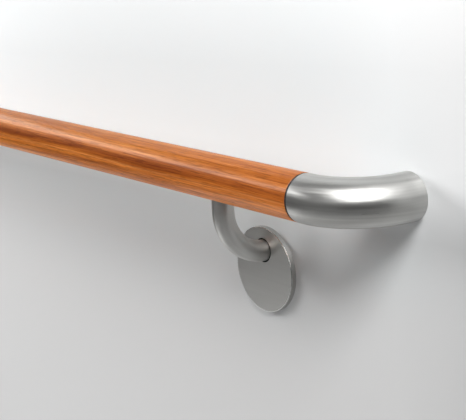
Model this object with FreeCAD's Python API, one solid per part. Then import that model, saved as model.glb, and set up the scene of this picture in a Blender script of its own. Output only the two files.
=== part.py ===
import FreeCAD, Part
import math
import os

os.makedirs("parts", exist_ok=True)

V = FreeCAD.Vector
X, Y, Z = V(1, 0, 0), V(0, 1, 0), V(0, 0, 1)

# Sizes are in mm. X runs along the rail, +Y goes into the wall and Z is up.
# The wall's face is y = 0 and the rail's axis is at z = 0, the same distance from the wall all along.

# Rail
rail_d = 42.4
rail_r = rail_d / 2
rail_edge = 0.6
fixing_spacing = 1160.0

# Return elbow: a short lead, one quarter turn and a straight leg to the wall
elbow_wall = 2.0
elbow_in_r = rail_r - elbow_wall
elbow_bend_r = 53.0
elbow_leg = 9.0
elbow_edge = 0.3
end_disc_t = 6.0
elbow_lead = end_disc_t
elbow_axis_x = fixing_spacing / 2
mouth_x = elbow_axis_x - elbow_bend_r - elbow_lead
axis_to_wall = elbow_bend_r + elbow_leg

# Joint between the wood and the elbow
ring_t = 2.0
ring_set_in = 0.2
wood_end_x = mouth_x - ring_t
stud_r = 4.0
stud_clearance = 0.25
stud_short = 2.0
insert_r = 6.0
insert_relief = 3.0
end_insert_len = 22.0

# Wall anchor inside the elbow's leg, and the set screw that holds the elbow on it
anchor_clearance = 0.15
anchor_r = elbow_in_r - anchor_clearance
anchor_short = 0.5
anchor_len = elbow_leg - anchor_short
anchor_floor = 4.0
anchor_skirt = 4.0
anchor_screw_r = 3.25
anchor_sink_r = 6.5
set_screw_r = 2.0
set_screw_clearance = 0.4
set_screw_y = -(anchor_floor + anchor_len) / 2
set_screw_below = 0.4
set_screw_hex = 2.0
set_screw_hex_depth = 2.0

# Cover rose, base plate and the rubber ring between them
rose_r = 41.5
rose_skin = 1.5
rose_round = 0.6
rose_gap = 0.9
cord_r = 1.1
cord_bite = 0.7
cord_ring_r = rose_r - rose_skin - cord_r
plate_t = 3.0
plate_r = cord_ring_r - cord_r + cord_bite
plate_edge = 0.2
plate_screw_r = 2.75
plate_sink_r = 5.0
plate_screw_in = 10.5
plate_screw_ring_r = plate_r - plate_screw_in
plate_screw_angles = (-90, 30, 150)
rose_depth = plate_t + rose_gap + rose_skin

# Bracket arm: down from the rail, one quarter turn and a short straight end on the base plate.
# It stands nearer to the wall than the rail's axis; its top is hollowed to the rail and ends flat.
bracket_from_joint = 133.0
bracket_x = mouth_x - bracket_from_joint
arm_r = 10.3
arm_set_back = 12.0
arm_y = -axis_to_wall + arm_set_back
arm_neck = 13.3
arm_straight = 0.5
arm_bend_r = axis_to_wall - arm_set_back - plate_t - arm_straight
arm_drop = rail_r + arm_neck + arm_bend_r
arm_top_below_axis = 7.0
arm_spigot_r = 6.0
arm_spigot_short = 0.5
arm_hole_clearance = 1.4
arm_above_rose_centre = 19.0
rose_drop = arm_drop + arm_above_rose_centre

# Stud and insert that hold the arm to the rail; the insert's mouth is just inside the round underside
arm_stud_in_arm = 10.0
arm_hole_spare = 2.0
under_insert_len = 13.0
under_insert_in = 0.3
under_insert_z = -math.sqrt(rail_r ** 2 - (arm_set_back + insert_r) ** 2) + under_insert_in


def rod(start, along, length, r):
    return Part.makeCylinder(r, length, start, along)


def bevel(shape, edges, size):
    return shape.makeChamfer(size, edges)


def circles_at(shape, r, test):
    found = []
    for e in shape.Edges:
        c = e.Curve
        if isinstance(c, Part.Circle) and abs(c.Radius - r) < 1e-3 and test(c.Center):
            found.append(e)
    return found


def countersunk(centre, r, sink_r, depth):
    through = rod(centre - V(0, 1, 0), Y, depth + 2, r)
    cone = Part.makeCone(sink_r, r, sink_r - r, centre, Y)
    return through.fuse(cone)


def hex_bar(centre, along, flats, length):
    side_r = flats / math.sqrt(3)
    u = X
    v = along.cross(u)
    pts = []
    for i in range(6):
        a = math.radians(60 * i)
        pts.append(centre + u * (side_r * math.cos(a)) + v * (side_r * math.sin(a)))
    face = Part.Face(Part.makePolygon(pts + [pts[0]]))
    return face.extrude(along * length)


def bent_round(r):
    lead = rod(V(mouth_x, -axis_to_wall, 0), X, elbow_lead, r)
    turn_x = mouth_x + elbow_lead
    turn_y = -axis_to_wall + elbow_bend_r
    profile = Part.Face(Part.Wire(Part.makeCircle(r, V(turn_x, -axis_to_wall, 0), X)))
    turn = profile.revolve(V(turn_x, turn_y, 0), Z, 90)
    leg = rod(V(elbow_axis_x, turn_y, 0), Y, -turn_y, r)
    return lead.fuse([turn, leg]).removeSplitter()


def make_wood_rail():
    body = rod(V(-wood_end_x, -axis_to_wall, 0), X, 2 * wood_end_x, rail_r)
    body = bevel(body, circles_at(body, rail_r, lambda c: True), rail_edge)
    holes = []
    end_depth = end_insert_len + insert_relief
    for side in (1, -1):
        holes.append(rod(V(side * wood_end_x, -axis_to_wall, 0), X * -side, end_depth, insert_r))
        top = under_insert_z + under_insert_len + insert_relief
        holes.append(rod(V(side * bracket_x, arm_y, -rail_r), Z, top + rail_r, insert_r))
    return body.cut(holes)


def make_joint_ring():
    ring = rod(V(wood_end_x, -axis_to_wall, 0), X, ring_t, rail_r - ring_set_in)
    return ring.cut(rod(V(wood_end_x - 1, -axis_to_wall, 0), X, ring_t + 2, stud_r + stud_clearance))


def make_return_elbow():
    tube = bent_round(rail_r).cut(bent_round(elbow_in_r))
    tube = bevel(tube, circles_at(tube, rail_r, lambda c: abs(c.x - mouth_x) < 1e-3), elbow_edge)
    hole = rod(V(elbow_axis_x, set_screw_y, -rail_r - 1), Z, elbow_wall + 2, set_screw_r + set_screw_clearance)
    return tube.cut(hole)


def make_end_disc():
    disc = rod(V(mouth_x, -axis_to_wall, 0), X, end_disc_t, elbow_in_r)
    return disc.cut(rod(V(mouth_x - 1, -axis_to_wall, 0), X, end_disc_t + 2, stud_r))


def make_joint_stud():
    low = wood_end_x - end_insert_len + stud_short
    return rod(V(low, -axis_to_wall, 0), X, mouth_x + end_disc_t - low, stud_r)


def make_end_insert():
    body = rod(V(wood_end_x - end_insert_len, -axis_to_wall, 0), X, end_insert_len, insert_r)
    return body.cut(rod(V(wood_end_x - end_insert_len - 1, -axis_to_wall, 0), X, end_insert_len + 2, stud_r))


def make_wall_anchor():
    cup = rod(V(elbow_axis_x, -anchor_len, 0), Y, anchor_len, anchor_r)
    hollow = rod(V(elbow_axis_x, -anchor_len - 1, 0), Y, anchor_len + 1 - anchor_floor, anchor_r - anchor_skirt)
    screw = countersunk(V(elbow_axis_x, -anchor_floor, 0), anchor_screw_r, anchor_sink_r, anchor_floor)
    tapped = rod(V(elbow_axis_x, set_screw_y, -anchor_r - 1), Z, anchor_skirt + 2, set_screw_r)
    return cup.cut([hollow, screw, tapped])


def make_set_screw():
    low = -rail_r + set_screw_below
    high = -anchor_r + anchor_skirt
    screw = rod(V(elbow_axis_x, set_screw_y, low), Z, high - low, set_screw_r)
    return screw.cut(hex_bar(V(elbow_axis_x, set_screw_y, low - 1), Z, set_screw_hex, set_screw_hex_depth + 1))


def make_bracket_arm():
    turn_z = -arm_drop + arm_bend_r
    turn_y = arm_y + arm_bend_r
    drop = rod(V(bracket_x, arm_y, turn_z), Z, -turn_z - arm_top_below_axis, arm_r)
    profile = Part.Face(Part.Wire(Part.makeCircle(arm_r, V(bracket_x, arm_y, turn_z), Z)))
    turn = profile.revolve(V(bracket_x, turn_y, turn_z), X, 90)
    reach = rod(V(bracket_x, turn_y, -arm_drop), Y, -plate_t - turn_y, arm_r)
    bar = drop.fuse([turn, reach]).removeSplitter()
    bar = bar.fuse(rod(V(bracket_x, -plate_t, -arm_drop), Y, plate_t - arm_spigot_short, arm_spigot_r))
    rail = rod(V(bracket_x - 3 * arm_r, -axis_to_wall, 0), X, 6 * arm_r, rail_r)
    depth = arm_stud_in_arm + arm_hole_spare
    tapped = rod(V(bracket_x, arm_y, -rail_r - depth), Z, rail_r + depth, stud_r)
    return bar.cut([rail, tapped])


def make_arm_stud():
    low = -rail_r - arm_stud_in_arm
    high = under_insert_z + under_insert_len - stud_short
    return rod(V(bracket_x, arm_y, low), Z, high - low, stud_r)


def make_under_insert():
    low = V(bracket_x, arm_y, under_insert_z)
    body = rod(low, Z, under_insert_len, insert_r)
    return body.cut(rod(low - Z, Z, under_insert_len + 2, stud_r))


def make_base_plate():
    plate = rod(V(bracket_x, -plate_t, -rose_drop), Y, plate_t, plate_r)
    plate = bevel(plate, circles_at(plate, plate_r, lambda c: c.y < -1), plate_edge)
    cuts = [make_rose_cord()]
    cuts.append(rod(V(bracket_x, -plate_t - 1, -arm_drop), Y, plate_t + 2, arm_spigot_r))
    for a in plate_screw_angles:
        t = math.radians(a)
        x = bracket_x + plate_screw_ring_r * math.cos(t)
        z = -rose_drop + plate_screw_ring_r * math.sin(t)
        cuts.append(countersunk(V(x, -plate_t, z), plate_screw_r, plate_sink_r, plate_t))
    return plate.cut(cuts)


def make_rose_cord():
    return Part.makeTorus(cord_ring_r, cord_r, V(bracket_x, -plate_t / 2, -rose_drop), Y)


def make_cover_rose():
    cap = rod(V(bracket_x, -rose_depth, -rose_drop), Y, rose_depth, rose_r)
    front = circles_at(cap, rose_r, lambda c: c.y < -rose_depth + 1e-3)
    cap = cap.makeFillet(rose_round, front)
    inside = rod(V(bracket_x, -rose_depth + rose_skin, -rose_drop), Y, rose_depth, rose_r - rose_skin)
    hole = rod(V(bracket_x, -rose_depth - 1, -arm_drop), Y, rose_depth, arm_r + arm_hole_clearance)
    return cap.cut([inside, hole])


paired = {
    "joint_ring": make_joint_ring,
    "return_elbow": make_return_elbow,
    "elbow_end_disc": make_end_disc,
    "joint_stud": make_joint_stud,
    "rail_end_insert": make_end_insert,
    "wall_anchor": make_wall_anchor,
    "anchor_set_screw": make_set_screw,
    "bracket_arm": make_bracket_arm,
    "arm_stud": make_arm_stud,
    "rail_under_insert": make_under_insert,
    "base_plate": make_base_plate,
    "rose_cord": make_rose_cord,
    "cover_rose": make_cover_rose,
}

nodes = {"wood_rail": make_wood_rail()}
for name, make in paired.items():
    right = make()
    nodes[name + "_right"] = right
    nodes[name + "_left"] = right.mirror(V(0, 0, 0), X)

for name, shape in nodes.items():
    solids = shape.Solids
    if len(solids) != 1 or not shape.isValid():
        raise RuntimeError("%s is not one sound solid" % name)
    solids[0].exportStep("parts/%s.step" % name)
    box = solids[0].BoundBox
    print("%-26s %8.1f cm3  %s" % (name, solids[0].Volume / 1000,
          " ".join("%.1f..%.1f" % p for p in ((box.XMin, box.XMax), (box.YMin, box.YMax), (box.ZMin, box.ZMax)))))
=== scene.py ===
# %% [markdown]
# # A wood and steel wall handrail
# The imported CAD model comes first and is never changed: every node already has its true size and
# place. This lesson dresses it. Each step says what the real thing is, how it could be made in
# Blender, and why this way was chosen. Lengths are in metres; X runs along the rail, Y into the
# wall and Z up.

# %% Load the frame
import math

import bpy
import numpy as np
from mathutils import Matrix, Vector


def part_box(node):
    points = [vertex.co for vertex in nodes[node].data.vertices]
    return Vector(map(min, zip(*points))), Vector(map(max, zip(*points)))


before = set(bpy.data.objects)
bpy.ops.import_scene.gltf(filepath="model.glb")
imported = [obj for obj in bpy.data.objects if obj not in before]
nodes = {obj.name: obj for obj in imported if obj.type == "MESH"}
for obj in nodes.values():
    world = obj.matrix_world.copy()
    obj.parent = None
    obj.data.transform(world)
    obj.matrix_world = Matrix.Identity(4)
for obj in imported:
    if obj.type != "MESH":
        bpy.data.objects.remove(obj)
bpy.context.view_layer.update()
print("frame loaded:", len(nodes), "nodes")

# %% [markdown]
# ## Sizes
# The patterns have to lie exactly on the wood and on the metal. Their sizes could be typed in
# again, but a typed copy goes wrong as soon as the model changes, so they are read from the
# nodes' boxes. Three lengths can't be read from a box and are the CAD model's own: the elbow's
# straight start, the arm's bend radius, and how far the arm stands behind the rail's axis.

# %% Sizes read from the nodes
def corners(name):
    """The low and the high corner of a node's box."""
    return (np.array(corner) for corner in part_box(name))


rail_low, rail_high = corners("wood_rail")
rail_radius = (rail_high[2] - rail_low[2]) / 2
rail_y = (rail_high[1] + rail_low[1]) / 2

elbow_low, elbow_high = corners("return_elbow_right")
mouth_x = elbow_low[0]
elbow_start = 0.006                   # the straight piece between the mouth and the bend
elbow_bend = elbow_high[0] - rail_radius - mouth_x - elbow_start

arm_low, arm_high = corners("bracket_arm_right")
arm_radius = (arm_high[0] - arm_low[0]) / 2
arm_bend = 0.0465                     # the bend's radius, to the middle of the rod
arm_setback = 0.012                   # how far the arm stands behind the rail's axis
arm_y = rail_y + arm_setback
arm_drop = -(arm_low[2] + arm_radius)

rose_low, rose_high = corners("cover_rose_right")
rose_centre = (rose_low + rose_high) / 2
rose_radius = (rose_high[2] - rose_low[2]) / 2
radii = {"rail": rail_radius, "arm": arm_radius, "rose": rose_radius}
print("radii:", {name: round(float(radius), 4) for name, radius in radii.items()})

# %% [markdown]
# ## Camera
# The photograph looks along the rail from its right-hand end and a little from above. Such a view
# could be found by moving the camera by eye. Here its place, its turn and its focal length came
# from fitting the model's outlines to the photograph's, so they are written as one position and
# three angles, and the camera's own axes are built from them.

# %% Camera
image_width = 466
sensor_width = 36.0
focal_pixels = 1306.8
camera_place = Vector((1.3333, -0.7371, 0.2427))
yaw, pitch, roll = math.radians(53.54), math.radians(13.34), math.radians(-2.58)

looks = Vector((-math.sin(yaw) * math.cos(pitch), math.cos(yaw) * math.cos(pitch),
                -math.sin(pitch)))
level = Vector((math.cos(yaw), math.sin(yaw), 0.0))
upright = level.cross(looks)
right = math.cos(roll) * level + math.sin(roll) * upright
up = -math.sin(roll) * level + math.cos(roll) * upright
turned = Matrix((right, up, -looks)).transposed().to_4x4()

camera_data = bpy.data.cameras.new("camera")
camera_data.sensor_width = sensor_width
camera_data.lens = focal_pixels * sensor_width / image_width
camera = bpy.data.objects.new("camera", camera_data)
camera.matrix_world = Matrix.Translation(camera_place) @ turned
bpy.context.scene.collection.objects.link(camera)
bpy.context.scene.camera = camera
print("camera lens", round(camera_data.lens, 1), "mm")

# %% [markdown]
# ## Node helpers: materials and places
# Every finish here is procedural: it is worked out from the place of the shaded point, so nothing
# has to be unwrapped and nothing stretches. The nodes could be placed by hand in the Shader
# Editor. These short helpers write them instead, so that each material reads as a recipe. The
# first ones make a material, join its sockets, and give the place of the point.

# %% Node helpers: materials and places
def new_material(name):
    """An empty material with an output and one Principled shader."""
    material = bpy.data.materials.new(name)
    material.use_nodes = True
    tree = material.node_tree
    tree.nodes.clear()
    out = tree.nodes.new("ShaderNodeOutputMaterial")
    shader = tree.nodes.new("ShaderNodeBsdfPrincipled")
    tree.links.new(shader.outputs[0], out.inputs[0])
    return material, tree, shader


def put(tree, value, socket):
    """Joins an output to a socket, or writes a plain value on it."""
    if isinstance(value, bpy.types.NodeSocket):
        tree.links.new(value, socket)
    else:
        socket.default_value = value


def place(tree):
    """x, y and z of the shaded point on the model."""
    coordinates = tree.nodes.new("ShaderNodeTexCoord")
    split = tree.nodes.new("ShaderNodeSeparateXYZ")
    tree.links.new(coordinates.outputs["Object"], split.inputs[0])
    return split.outputs


def join(tree, x, y, z):
    """A vector from three numbers."""
    node = tree.nodes.new("ShaderNodeCombineXYZ")
    for value, socket in zip((x, y, z), node.inputs):
        put(tree, value, socket)
    return node.outputs[0]


print("helpers:", [helper.__name__ for helper in (new_material, put, place, join)])

# %% [markdown]
# ## Node helpers: sums
# A pattern that follows a bent tube or a round rail is a sum on the point's place. Blender has
# one node for each step of a sum, the Math node. With a helper for each kind, a formula can be
# read as a formula. The last one carries one range of numbers over to another, which is how a
# noise becomes a roughness.

# %% Node helpers: sums
def maths(tree, how, a, b=0.0, c=0.0):
    """One Math node."""
    node = tree.nodes.new("ShaderNodeMath")
    node.operation = how
    for value, socket in zip((a, b, c), node.inputs):
        put(tree, value, socket)
    return node.outputs[0]


def plus(tree, a, b):
    """a + b"""
    return maths(tree, "ADD", a, b)


def minus(tree, a, b):
    """a - b"""
    return maths(tree, "SUBTRACT", a, b)


def times(tree, a, b):
    """a * b"""
    return maths(tree, "MULTIPLY", a, b)


def scaled(tree, value, factor, offset):
    """value * factor + offset"""
    return maths(tree, "MULTIPLY_ADD", value, factor, offset)


def hypotenuse(tree, a, b):
    """The square root of a * a + b * b."""
    return maths(tree, "SQRT", plus(tree, times(tree, a, a), times(tree, b, b)))


def span(tree, value, low, high, to_low, to_high):
    """Carries the range low..high over to to_low..to_high, and holds the value at its ends."""
    node = tree.nodes.new("ShaderNodeMapRange")
    for number, socket in zip((value, low, high, to_low, to_high), node.inputs):
        put(tree, number, socket)
    return node.outputs[0]


sums = (maths, plus, minus, times, scaled, hypotenuse, span)
print("helpers:", [helper.__name__ for helper in sums])

# %% [markdown]
# ## Node helpers: streaks
# Wood grain and brushed metal are both long marks that run one way. They could be drawn with a
# wave texture, but its lines repeat. Noise on a space that is squeezed along one direction gives
# marks that are drawn out along it and never repeat, so one helper serves the wood and the steel.

# %% Node helpers: streaks
def noise(tree, vector, scale=1.0, detail=2.0, rough=0.5, warp=0.0):
    """Noise from 0 to 1 at a vector."""
    node = tree.nodes.new("ShaderNodeTexNoise")
    put(tree, vector, node.inputs["Vector"])
    node.inputs["Scale"].default_value = scale
    node.inputs["Detail"].default_value = detail
    node.inputs["Roughness"].default_value = rough
    node.inputs["Distortion"].default_value = warp
    return node.outputs["Fac"]


def streaks(tree, length, cross_a, cross_b, along, across, detail, rough=0.5, warp=0.0):
    """Noise drawn out along the length.

    streaks = noise(length * along, cross_a * across, cross_b * across).
    """
    vector = join(tree, times(tree, length, along),
                  times(tree, cross_a, across), times(tree, cross_b, across))
    return noise(tree, vector, 1.0, detail, rough, warp)


print("helpers:", [helper.__name__ for helper in (noise, streaks)])

# %% [markdown]
# ## Node helpers: colour and relief
# A noise is only a number. A colour ramp turns it into a tone, a mix lays one colour over another
# or multiplies the two, and a bump turns it into relief. The last helper puts a finished material
# on the nodes: the frame gives each node a plain material named after its slot, and it is swapped
# there.

# %% Node helpers: colour and relief
def ramp(tree, value, stops):
    """A colour ramp; stops are (place, colour)."""
    node = tree.nodes.new("ShaderNodeValToRGB")
    put(tree, value, node.inputs[0])
    elements = node.color_ramp.elements
    while len(elements) < len(stops):
        elements.new(0.5)
    for element, (at, colour) in zip(elements, stops):
        element.position = at
        element.color = (*colour, 1.0)
    return node.outputs[0]


def mix_colour(tree, share, a, b, how="MIX"):
    """Mixes or multiplies two colours."""
    node = tree.nodes.new("ShaderNodeMix")
    node.data_type = "RGBA"
    node.blend_type = how
    put(tree, share, node.inputs[0])
    put(tree, a, node.inputs[6])
    put(tree, b, node.inputs[7])
    return node.outputs[2]


def grey(tone):
    """A grey of one tone."""
    return (tone, tone, tone)


def bump(tree, height, strength, distance):
    """A bump from a height between 0 and 1; the distance is the depth of the whole range."""
    node = tree.nodes.new("ShaderNodeBump")
    node.inputs["Strength"].default_value = strength
    node.inputs["Distance"].default_value = distance
    tree.links.new(height, node.inputs["Height"])
    return node.outputs[0]


def dress(slot, material):
    """Puts a material on every node that the record gives that slot."""
    count = 0
    for thing in nodes.values():
        worn = thing.data.materials
        if worn and worn[0] and worn[0].name.split(".")[0] == slot:
            worn[0] = material
            count += 1
    print("dressed", count, "node(s) with", material.name)


print("helpers:", [helper.__name__ for helper in (ramp, mix_colour, grey, bump, dress)])

# %% [markdown]
# ## Stained wood: the course of the grain
# The rail is turned hardwood. Its grain runs the whole length but never quite straight, because
# the tree grew with bends and the lathe cuts through them. The pattern is solid, in all three
# directions, so it meets itself at the back of the rail without a seam. A slow noise along the
# rail sways it.

# %% Stained wood: the course of the grain
grain_turns = 2.5                     # turns of the grain per metre of rail
grain_sway = 0.010                    # how far a turn carries the grain up and down
sway_inwards = 0.6                    # the share of it that also carries the grain inwards
stripe_sway = 0.35                    # the share of it that the stripes follow
drift_from, drift_to = 0.5, -0.1      # the stretch of rail over which the stripes drift


def wood_space(tree):
    """The numbers that the wood's pattern is drawn on.

    out = distance from the rail's axis towards the room;
    sway = (noise(x * turns) - 1/2) * the grain's sway;
    across = z + sway; depth = out + a share of sway; raised = z + a share of sway;
    around = atan2(raised, out); along = 0 to 1 over the stretch where the stripes drift.
    """
    x, y, z = place(tree)
    out = minus(tree, rail_y, y)
    bend = noise(tree, join(tree, times(tree, x, grain_turns), 0.0, 0.0), detail=1.0)
    sway = scaled(tree, bend, grain_sway, -grain_sway / 2)
    across = plus(tree, z, sway)
    depth = scaled(tree, sway, sway_inwards, out)
    raised = scaled(tree, sway, stripe_sway, z)
    around = maths(tree, "ARCTAN2", raised, out)
    along = span(tree, x, drift_from, drift_to, 0.0, 1.0)
    return x, across, depth, raised, around, along


def stripe(tree, around, along, angle, drift, width):
    """1 on a line that drifts round the rail, 0 from a width beside it, all in degrees.

    middle = along * drift + angle; stripe = 1 - |around - middle| / width, and never below 0.
    """
    middle = scaled(tree, along, math.radians(drift), math.radians(angle))
    off = maths(tree, "ABSOLUTE", minus(tree, around, middle))
    return maths(tree, "MAXIMUM", scaled(tree, off, -1.0 / math.radians(width), 1.0), 0.0)


print("the grain sways by", grain_sway * 1000, "mm,", grain_turns, "times a metre")

# %% [markdown]
# ## Stained wood: colour and lacquer
# A red-orange stain soaks deeper into soft wood than into hard wood, so the streaks differ in
# depth and not only in hue. Long soft streaks, finer fibres and short dark pores are three noises
# on the same space. Darker and paler stripes drift round the side that faces the room. The paler
# stripe that drifts furthest is a painted highlight along the lacquer's pale line, and the broad
# dark stripe below it is partly a darker streak of the wood and partly painted shade. The underside
# is painted lighter and the top darker, as painted light and shade. A clear lacquer lies on top as
# the shader's coat: it also mirrors a long lamp as a pale line, and a line that is mirrored moves
# with the eye, as the painted one does not.

# %% Stained wood: colour and lacquer
broad_streaks = {"along": 3.0, "across": 130.0, "detail": 3.0, "rough": 0.75, "warp": 0.3}
fine_fibres = {"along": 16.0, "across": 760.0, "detail": 4.0, "rough": 0.7}
short_pores = {"along": 60.0, "across": 900.0, "detail": 1.0}
fine_share = 0.44                     # how much of the tone comes from the fibres
fibre_range = (0.3, 0.7)              # what the fibres' noise mostly lies between
pore_range, pore_tone = (0.54, 0.66), 0.74    # where a pore begins and is full, and how dark
wood_tones = [(0.26, (0.18, 0.034, 0.005)), (0.40, (0.34, 0.083, 0.011)),
              (0.50, (0.50, 0.142, 0.022)), (0.62, (0.67, 0.220, 0.042))]
# angle, drift and width in degrees, then how much darker; the first, broad stripe is partly a
# darker streak of the wood and partly painted shade below the painted highlight
dark_stripes_and_painted_shade = [(11.0, 2.0, 22.0, 0.20), (-17.0, 0.0, 7.0, 0.08)]
# angle, drift and width in degrees, then the least and the most share of the pale tone; the first
# stripe is a painted highlight along the lacquer's pale line
pale_stripes_and_painted_highlight = [(30.0, 27.0, 12.0, 0.08, 0.30), (-5.0, 2.0, 5.0, 0.05, 0.22)]
pale_and_highlight_tone = (0.72, 0.34, 0.155, 1.0)
# the underside is painted lighter and the top darker, as painted light and shade: the colour is
# multiplied by 1.56 below and by 0.86 on top
underside, upper_side = -0.77 * rail_radius, 0.77 * rail_radius
painted_light_below, painted_shade_above = 1.56, 0.86
# the green is raised, so the hue is yellower, near the joint and far from it
yellow_near, yellow_far = 1.03, 1.10
wood_rough = (0.40, 0.50)
fibre_relief, fibre_depth = 0.10, 0.0002
lacquer = {"Specular IOR Level": 0.05, "Coat Weight": 0.27, "Coat Roughness": 0.12, "Coat IOR": 1.6}


def make_wood():
    """Stained and lacquered hardwood."""
    material, tree, shader = new_material("stained wood")
    x, across, depth, raised, around, along = wood_space(tree)
    broad = streaks(tree, x, depth, across, **broad_streaks)
    fine = streaks(tree, x, depth, across, **fine_fibres)
    pores = streaks(tree, x, depth, across, **short_pores)

    tone = scaled(tree, fine, fine_share, times(tree, broad, 1.0 - fine_share))
    for angle, drift, width, darker in dark_stripes_and_painted_shade:
        dip = times(tree, stripe(tree, around, along, angle, drift, width), darker)
        tone = minus(tree, tone, dip)
    colour = ramp(tree, tone, wood_tones)
    for angle, drift, width, least, most in pale_stripes_and_painted_highlight:
        pale = times(tree, stripe(tree, around, along, angle, drift, width),
                     span(tree, fine, *fibre_range, least, most))
        colour = mix_colour(tree, pale, colour, pale_and_highlight_tone)

    # pores darken the colour, and the underside and top are painted lighter and darker, as painted
    # light and shade
    pores_and_painted_light = times(tree, span(tree, pores, *pore_range, 1.0, pore_tone),
                 span(tree, raised, underside, upper_side, painted_light_below, painted_shade_above))
    green = times(tree, pores_and_painted_light, span(tree, along, 0.0, 1.0, yellow_near, yellow_far))
    colour = mix_colour(tree, 1.0, colour, join(tree, pores_and_painted_light, green, pores_and_painted_light), "MULTIPLY")

    put(tree, colour, shader.inputs["Base Color"])
    put(tree, span(tree, fine, *fibre_range, *wood_rough), shader.inputs["Roughness"])
    put(tree, bump(tree, fine, fibre_relief, fibre_depth), shader.inputs["Normal"])
    for name, value in lacquer.items():
        shader.inputs[name].default_value = value
    return material


dress("wood_rail", make_wood())

# %% [markdown]
# ## Satin steel: scratches
# The elbows, arms and roses are stainless steel with a fine satin grind. A brushed surface is
# many parallel scratches: they show as faint bands in the tone, they make the gloss uneven, and
# they lean the surface to one side or the other. So one recipe puts the same scratches into
# colour, roughness and bump. Its grain says how strong the grind is, because a bent tube is
# ground more coarsely than a small flat cap.

# %% Satin steel: scratches
steel_tint = (0.54, 0.537, 0.52)
band_light, band_dark = 0.05, 0.07    # how far the soft bands leave the tint, up and down
soft_bands = {"along": 9.0, "across": 260.0, "detail": 2.0}
scratch_length, scratch_detail = 30.0, 2.0
scratch_range = (0.3, 0.7)            # what both noises mostly lie between
smoother, rougher = 0.04, 0.05        # how far the gloss varies, down and up
scratch_relief = 0.16
scratch_depth = 0.14                  # the depth of a scratch, as a share of the space between two


def steel_finish(tree, shader, cross_a, cross_b, length, rough, grain=1.0, scratches=1300.0):
    """Scratches along the length, a given number to a metre, in tone, roughness and bump."""
    scratch = streaks(tree, length, cross_a, cross_b, scratch_length, scratches, scratch_detail)
    bands = streaks(tree, length, cross_a, cross_b, **soft_bands)
    light = tuple(v * (1.0 + band_light * grain) for v in steel_tint)
    dark = tuple(v * (1.0 - band_dark * grain) for v in steel_tint)
    low, high = scratch_range
    put(tree, ramp(tree, bands, [(low, dark), (high, light)]), shader.inputs["Base Color"])
    both = scaled(tree, bands, 0.5, times(tree, scratch, 0.5))
    gloss = span(tree, both, low, high, rough - smoother * grain, rough + rougher * grain)
    put(tree, gloss, shader.inputs["Roughness"])
    relief = bump(tree, scratch, scratch_relief * grain, scratch_depth / scratches)
    put(tree, relief, shader.inputs["Normal"])
    shader.inputs["Metallic"].default_value = 1.0


def paint_shade_dark(tree, shader, where, tone):
    """Paints shade: takes the base colour down to a dark grey where a mask is 1."""
    ground = shader.inputs["Base Color"].links[0].from_socket
    put(tree, mix_colour(tree, where, ground, (*grey(tone), 1.0)), shader.inputs["Base Color"])


print("steel tint", steel_tint)

# %% [markdown]
# ## Satin steel: elbows and arms
# On a bent piece the scratches turn with the metal. A UV map could carry them, but a bend can
# also be worked out: it lies between two straight ends, so the distance from the bend's centre,
# held at zero past its ends, stays the same along the whole path. Noise on that distance and on
# the height across it gives scratches that follow the bend. The same sums give the direction of
# the path, which the shader takes as its tangent, and its anisotropic gloss draws the highlight
# out along the tube. The arm's end is covered by the rose, and no light gets to it there, so its
# colour is painted dark there, as painted shade.

# %% Satin steel: elbows and arms
# the arm's covered end and the rose's inside are painted dark, as painted shade
cover_depth = 0.0004                  # how far behind the rose's face its dark inside begins
covered_shade_tone = 0.02


def path_space(tree, along_first, along_last, centre_first, centre_last, radius):
    """A path that runs straight, bends by a quarter turn and runs straight again.

    a = first - centre, not below 0; b = last - centre, not above 0; distance = sqrt(a*a + b*b);
    length = radius * atan2(a, -b), and the straight parts before and after the bend;
    direction = (-b, a) / distance.
    """
    ahead = minus(tree, along_first, centre_first)
    beside = minus(tree, along_last, centre_last)
    a = maths(tree, "MAXIMUM", ahead, 0.0)
    b = maths(tree, "MINIMUM", beside, 0.0)
    distance = hypotenuse(tree, a, b)
    turn = times(tree, maths(tree, "ARCTAN2", a, times(tree, b, -1.0)), radius)
    straight = plus(tree, maths(tree, "MINIMUM", ahead, 0.0), maths(tree, "MAXIMUM", beside, 0.0))
    first = maths(tree, "DIVIDE", times(tree, b, -1.0), distance)
    last = maths(tree, "DIVIDE", a, distance)
    return distance, plus(tree, turn, straight), first, last


def make_elbow_steel():
    """The elbow's path runs outwards along the rail, then into the wall; both ends share it."""
    material, tree, shader = new_material("satin steel, elbow")
    x, y, z = place(tree)
    side = maths(tree, "SIGN", x)
    out = maths(tree, "ABSOLUTE", x)
    distance, length, first, last = path_space(
        tree, out, y, mouth_x + elbow_start, rail_y + elbow_bend, elbow_bend)
    steel_finish(tree, shader, distance, z, length, rough=0.36, grain=2.4, scratches=700.0)
    shader.inputs["Anisotropic"].default_value = 0.55
    put(tree, join(tree, times(tree, first, side), last, 0.0), shader.inputs["Tangent"])
    return material


def make_arm_steel():
    """The arm's path runs down from the rail, then into the wall."""
    material, tree, shader = new_material("satin steel, arm")
    x, y, z = place(tree)
    down = times(tree, z, -1.0)
    distance, length, first, last = path_space(
        tree, down, y, arm_drop - arm_bend, arm_y + arm_bend, arm_bend)
    steel_finish(tree, shader, distance, x, length, rough=0.40)
    shader.inputs["Anisotropic"].default_value = 0.4
    put(tree, join(tree, 0.0, last, times(tree, first, -1.0)), shader.inputs["Tangent"])
    covered = maths(tree, "GREATER_THAN", y, rose_low[1] + cover_depth)
    paint_shade_dark(tree, shader, covered, covered_shade_tone)
    return material


dress("return_elbow", make_elbow_steel())
dress("bracket_arm", make_arm_steel())

# %% [markdown]
# ## Satin steel: cover roses
# The rose is a dished cap with a flat satin face. Hands and cloths polish its front edge, so the
# edge is smoother and shows a thin bright line. Seen through the hole beside the arm, its inside
# is painted dark, as painted shade. The edge could be a second material on chosen faces. Two
# masks by radius and depth do it with one, and leave the CAD node's mesh as it is.

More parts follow.
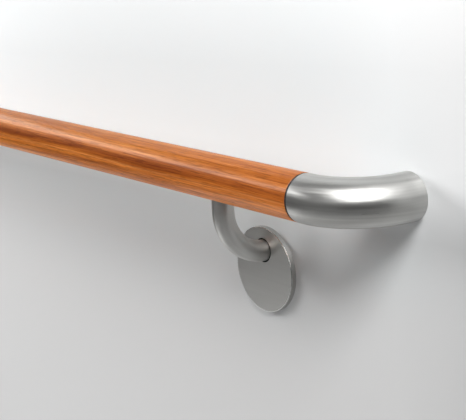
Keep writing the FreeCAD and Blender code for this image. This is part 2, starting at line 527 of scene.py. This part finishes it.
# %% Satin steel: cover roses
edge_inside, edge_outside = 0.0009, 0.0006    # where the polish begins and is full, from the rim
edge_polish = 0.27
# the rose's inside, past this shell, is painted dark as painted shade
shell = 0.0008                                # from the rim to where the dark inside begins
inside_shade_tone = 0.03


def make_rose_steel():
    """Satin face, polished edge and an inside painted dark as painted shade; radius = sqrt(aside *
    aside + above * above).
    """
    material, tree, shader = new_material("satin steel, rose")
    x, y, z = place(tree)
    steel_finish(tree, shader, z, y, x, rough=0.48, grain=0.4)
    aside = minus(tree, maths(tree, "ABSOLUTE", x), rose_centre[0])
    above = minus(tree, z, rose_centre[2])
    radius = hypotenuse(tree, aside, above)
    inside = times(tree, maths(tree, "LESS_THAN", radius, rose_radius - shell),
                   maths(tree, "GREATER_THAN", y, rose_low[1] + cover_depth))
    paint_shade_dark(tree, shader, inside, inside_shade_tone)
    satin = shader.inputs["Roughness"].links[0].from_socket
    edge = span(tree, radius, rose_radius - edge_inside, rose_radius - edge_outside, 0.0, 1.0)
    put(tree, scaled(tree, edge, -edge_polish, satin), shader.inputs["Roughness"])
    return material


dress("cover_rose", make_rose_steel())

# %% [markdown]
# ## Small and hidden pieces
# The joint ring is matt black plastic, the rose's ring is rubber, the studs are zinc plated, the
# inserts brass, the anchors aluminium and the base plates blackened steel, made near-black as
# painted shade where they show through the rose's hole. They are mostly hidden and could be left
# grey, yet each has its own finish, because the model is also seen from behind and taken apart.
# One recipe does for all: a cloudy tone with gloss that follows it, and a fine tooth in the
# surface.

# %% Small and hidden pieces
clouds = {"scale": 60.0, "detail": 3.0}
cloud_range, cloud_dark = (0.3, 0.7), 0.85
smoother_spots, rougher_spots = 0.05, 0.08
fine_tooth = {"scale": 900.0, "detail": 1.0}
tooth_relief, tooth_depth = 0.08, 0.0001
small_pieces = [
    # slot, material, tint, roughness, metallic
    ("joint_ring", "matt black plastic", (0.014, 0.013, 0.012), 0.70, 0.0),
    ("rose_cord", "black rubber", (0.025, 0.025, 0.025), 0.70, 0.0),
    ("elbow_end_disc", "turned steel", (0.55, 0.55, 0.54), 0.35, 1.0),
    ("joint_stud", "zinc plate", (0.62, 0.62, 0.60), 0.30, 1.0),
    ("arm_stud", "zinc plate, arm", (0.62, 0.62, 0.60), 0.30, 1.0),
    ("rail_end_insert", "brass", (0.72, 0.52, 0.22), 0.30, 1.0),
    ("rail_under_insert", "brass, underside", (0.72, 0.52, 0.22), 0.30, 1.0),
    ("wall_anchor", "turned aluminium", (0.70, 0.70, 0.70), 0.35, 1.0),
    ("anchor_set_screw", "blackened steel", (0.12, 0.12, 0.12), 0.35, 1.0),
    # the base plate's near-black tone is painted shade where it shows through the rose's hole
    ("base_plate", "blackened mill steel, painted shade", (0.04, 0.04, 0.04), 0.60, 1.0),
]


def make_small(name, tint, rough, metallic):
    """A turned, plated or moulded finish: cloudy tone and gloss, and a fine tooth."""
    material, tree, shader = new_material(name)
    point = join(tree, *place(tree))
    cloud = noise(tree, point, **clouds)
    tooth = noise(tree, point, **fine_tooth)
    low, high = cloud_range
    tones = [(low, tuple(v * cloud_dark for v in tint)), (high, tint)]
    gloss = span(tree, cloud, low, high, rough - smoother_spots, rough + rougher_spots)
    put(tree, ramp(tree, cloud, tones), shader.inputs["Base Color"])
    put(tree, gloss, shader.inputs["Roughness"])
    put(tree, bump(tree, tooth, tooth_relief, tooth_depth), shader.inputs["Normal"])
    shader.inputs["Metallic"].default_value = metallic
    return material


for slot, name, tint, rough, metallic in small_pieces:
    dress(slot, make_small(name, tint, rough, metallic))

# %% [markdown]
# ## The studio: panels that are clear from behind
# A handrail hangs on a wall, so a pale wall stands just behind it and a pale floor lies below. A
# wall would hide the fixings from the back. It could be switched off for those views, but then
# the light would change too. A shader that is clear on its back faces lets the eye through from
# one side only. Light is let through as well, but only close to the wall, so that a lamp behind
# it reaches the fixings and doesn't wash out the shadows in front.

# %% The studio: panels that are clear from behind
def panel(name, corner_points):
    """A flat four-cornered panel."""
    mesh = bpy.data.meshes.new(name)
    mesh.from_pydata([tuple(c) for c in corner_points], [], [(0, 1, 2, 3)])
    thing = bpy.data.objects.new(name, mesh)
    bpy.context.scene.collection.objects.link(thing)
    return thing


def clear_from_behind(tree, front, surface, contact=0.0):
    """Shows the front shader on front faces and nothing on back faces.

    clear = back face, or a shadow ray that starts closer to the panel than the contact distance.
    """
    clear = tree.nodes.new("ShaderNodeBsdfTransparent")
    side = tree.nodes.new("ShaderNodeNewGeometry")
    ray = tree.nodes.new("ShaderNodeLightPath").outputs
    mix = tree.nodes.new("ShaderNodeMixShader")
    touching = times(tree, ray["Is Shadow Ray"],
                     maths(tree, "LESS_THAN", ray["Ray Length"], contact))
    put(tree, maths(tree, "MAXIMUM", side.outputs["Backfacing"], touching), mix.inputs[0])
    tree.links.new(front, mix.inputs[1])
    tree.links.new(clear.outputs[0], mix.inputs[2])
    tree.links.new(mix.outputs[0], surface)


print("panel helpers ready")

# %% [markdown]
# ## The studio: the wall
# A white wall stands behind the rail, and warm light from the wood falls on it there. Matt paint
# is a diffuse shader. Its tone is painted darker low down and towards its far end, as painted
# shade:
# it follows the height over a line that sinks gently along the wall. The paint is also cooled where
# the wood's light is warm, so that the wall comes out neutral.

# %% The studio: the wall
wall_gap = 0.0004                     # from the wall to the model's back
wall_reach, wall_top, floor_z = 1.7, 1.3, -0.9
contact_distance = 0.015
height_slope, height_offset = -0.04, 0.04
# the paint is painted darker low down, as painted shade, over this range of height
shade_low, shade_high = -0.02, 0.40
wall_painted_shades = [(0.0, grey(0.675)), (0.086, grey(0.848)), (0.154, grey(0.895)),
               (0.33, grey(0.895)), (0.46, grey(0.96)), (1.0, grey(0.97))]
tint_low, tint_high = -0.20, 0.20
wall_tints = [(0.0, (1.0, 1.0, 1.0)), (0.22, (0.985, 1.0, 1.005)), (0.35, (0.935, 1.0, 1.02)),
              (0.60, (0.945, 1.0, 1.02)), (0.80, (0.965, 1.0, 1.012)), (1.0, (0.985, 1.0, 1.004))]
# the cool tint has its full share behind the wood and a small one past the joint
cool_full, cool_least, least_share = mouth_x - 0.06, mouth_x + 0.10, 0.12
# past the joint the wall is painted darker, as painted shade
far_from, far_to, far_painted_shade = mouth_x + 0.04, mouth_x + 0.26, 0.78


def make_wall_paint():
    """Matt paint with painted shade.

    height = x * slope + z + offset; tone = painted shade(height) * share of tint(z) * far painted
    shade(x).
    """
    material = bpy.data.materials.new("wall paint")
    material.use_nodes = True
    tree = material.node_tree
    tree.nodes.clear()
    out = tree.nodes.new("ShaderNodeOutputMaterial")
    paint = tree.nodes.new("ShaderNodeBsdfDiffuse")
    x, y, z = place(tree)
    height = scaled(tree, x, height_slope, plus(tree, z, height_offset))
    shade = ramp(tree, span(tree, height, shade_low, shade_high, 0.0, 1.0), wall_painted_shades)
    tint = ramp(tree, span(tree, z, tint_low, tint_high, 0.0, 1.0), wall_tints)
    share = span(tree, x, cool_full, cool_least, 1.0, least_share)
    tone = mix_colour(tree, share, shade, tint, "MULTIPLY")
    far = span(tree, x, far_from, far_to, 1.0, far_painted_shade)
    tone = mix_colour(tree, 1.0, tone, join(tree, far, far, far), "MULTIPLY")
    put(tree, tone, paint.inputs["Color"])
    clear_from_behind(tree, paint.outputs[0], out.inputs[0], contact_distance)
    return material


wall = panel("wall", [(-wall_reach, wall_gap, floor_z), (wall_reach, wall_gap, floor_z),
                      (wall_reach, wall_gap, wall_top), (-wall_reach, wall_gap, wall_top)])
wall.data.materials.append(make_wall_paint())
print("wall", 2 * wall_reach, "m wide")

# %% [markdown]
# ## The studio: the floor
# The floor lies well below the rail. A lit white floor would throw light up at the steel and take
# away its dark undersides. So the floor's own colour is a middle grey, and it glows for the
# camera, and only faintly in the metal's reflections.

# %% The studio: the floor
floor_reach = 6.0
floor_tone, floor_rough = 0.36, 0.8
floor_glow, floor_mirrored = 0.36, 0.03


def make_floor_paint():
    """Grey paint that glows.

    strength = glow for a camera or transmission ray, and the mirrored share for a glossy ray.
    """
    material, tree, shader = new_material("floor paint")
    shader.inputs["Base Color"].default_value = (*grey(floor_tone), 1.0)
    shader.inputs["Roughness"].default_value = floor_rough
    shader.inputs["Emission Color"].default_value = (1.0, 1.0, 1.0, 1.0)
    ray = tree.nodes.new("ShaderNodeLightPath").outputs
    seen = plus(tree, ray["Is Camera Ray"], ray["Is Transmission Ray"])
    mirrored = times(tree, ray["Is Glossy Ray"], floor_mirrored)
    put(tree, scaled(tree, seen, floor_glow, mirrored), shader.inputs["Emission Strength"])
    clear_from_behind(tree, shader.outputs[0], tree.nodes["Material Output"].inputs[0])
    return material


floor = panel("floor", [(across * floor_reach, along * floor_reach, floor_z)
                        for across, along in ((-1, -1), (1, -1), (1, 1), (-1, 1))])
floor.data.materials.append(make_floor_paint())
print("floor at", floor_z, "m")

# %% [markdown]
# ## Light: a soft box
# A studio lamp is a lit rectangle, and Blender's area lamp is the same. It could be turned by
# hand. Here it is set by two angles and a distance from the joint, and always faces it, so a
# change of angle moves the highlight and nothing else.

# %% Light: a soft box
aim = Vector((mouth_x, rail_y, 0.0))


def soft_box(name, azimuth, height, distance, size, power, lights="all", at=aim):
    """A rectangular lamp that faces a point.

    The azimuth a turns from straight out of the wall towards the rail's right-hand end, and the
    height h is the angle above the level, both in degrees.
    away = (sin a * cos h, -cos a * cos h, sin h); place = point + away * distance.
    """
    azimuth, height = math.radians(azimuth), math.radians(height)
    away = Vector((math.sin(azimuth) * math.cos(height), -math.cos(azimuth) * math.cos(height),
                   math.sin(height)))
    data = bpy.data.lights.new(name, "AREA")
    data.shape = "RECTANGLE"
    data.size, data.size_y = size
    data.energy = power
    lamp = bpy.data.objects.new(name, data)
    lamp.location = at + away * distance
    lamp.rotation_euler = (-away).to_track_quat("-Z", "Y").to_euler()
    lamp.visible_diffuse = lights != "gloss"
    lamp.visible_glossy = lights != "colour"
    bpy.context.scene.collection.objects.link(lamp)
    return lamp


print("lamps face", [round(v, 3) for v in aim])

# %% [markdown]
# ## Light: the lamps
# Satin steel shows little else than its lamps, so each lamp is placed for the shape that it
# draws. The shape of a highlight and the softness of a shadow want lamps of different sizes, and
# one lamp can't have both. So most lamps here light either gloss alone or matt colour alone.

# %% Light: the lamps
# The large lamp up to the right: the white shape on the elbow, and the shadows to the lower left.
soft_box("key shine", 52, 46.5, 1.4, (1.0, 1.22), 28.0, "gloss")
soft_box("key light", 54, 47, 1.4, (0.5, 0.5), 23.0, "colour")
# From the left: the wood's front and the wall, and the pale line along the lacquer.
soft_box("left light", -73, 15, 2.0, (1.7, 0.55), 43.0, "colour")
soft_box("highlight strip", -64, 21.5, 2.2, (2.6, 0.32), 10.0, "gloss")
# Wide and faint from the front: it lifts the steel that faces the room.
soft_box("front fill", -14, -5, 2.2, (3.6, 1.2), 1.4, "gloss")
# A small one close to the rose, for its face and the arm's underside.
low = soft_box("low fill", -56, -34, 0.36, (0.26, 0.16), 0.088, "gloss", Vector(rose_centre))
low.visible_camera = False
# From below: the wood's underside.
soft_box("under light", -42, -20, 2.0, (1.8, 1.1), 2.3, "colour")
soft_box("belly light", -20, -62, 0.9, (1.3, 0.2), 1.5, "colour")
# Behind the wall: the back of the handrail and its fixings.
soft_box("back light", 150, 35, 2.2, (1.8, 1.4), 40.0)

# %% [markdown]
# ## Light: the air
# The room's air is seen past the wall as a pale backdrop. As a light of its own it would flatten
# the steel, so it is bright for the camera only, faint in the metal's reflections, and next to
# nothing for everything else. The Light Path node tells these rays apart.

# %% Light: the air
air_seen, air_mirrored, air_light = 0.73, 0.08, 0.02

world = bpy.data.worlds.new("studio air")
world.use_nodes = True
air = world.node_tree
background = air.nodes["Background"]
background.inputs["Color"].default_value = (1.0, 1.0, 1.0, 1.0)
ray = air.nodes.new("ShaderNodeLightPath").outputs
seen = plus(air, ray["Is Camera Ray"], ray["Is Transmission Ray"])
mirrored = scaled(air, ray["Is Glossy Ray"], air_mirrored, air_light)
put(air, scaled(air, seen, air_seen, mirrored), background.inputs["Strength"])
bpy.context.scene.world = world
bpy.context.scene.view_settings.view_transform = "Standard"
print("the air is", air_seen + air_light, "bright for the camera")
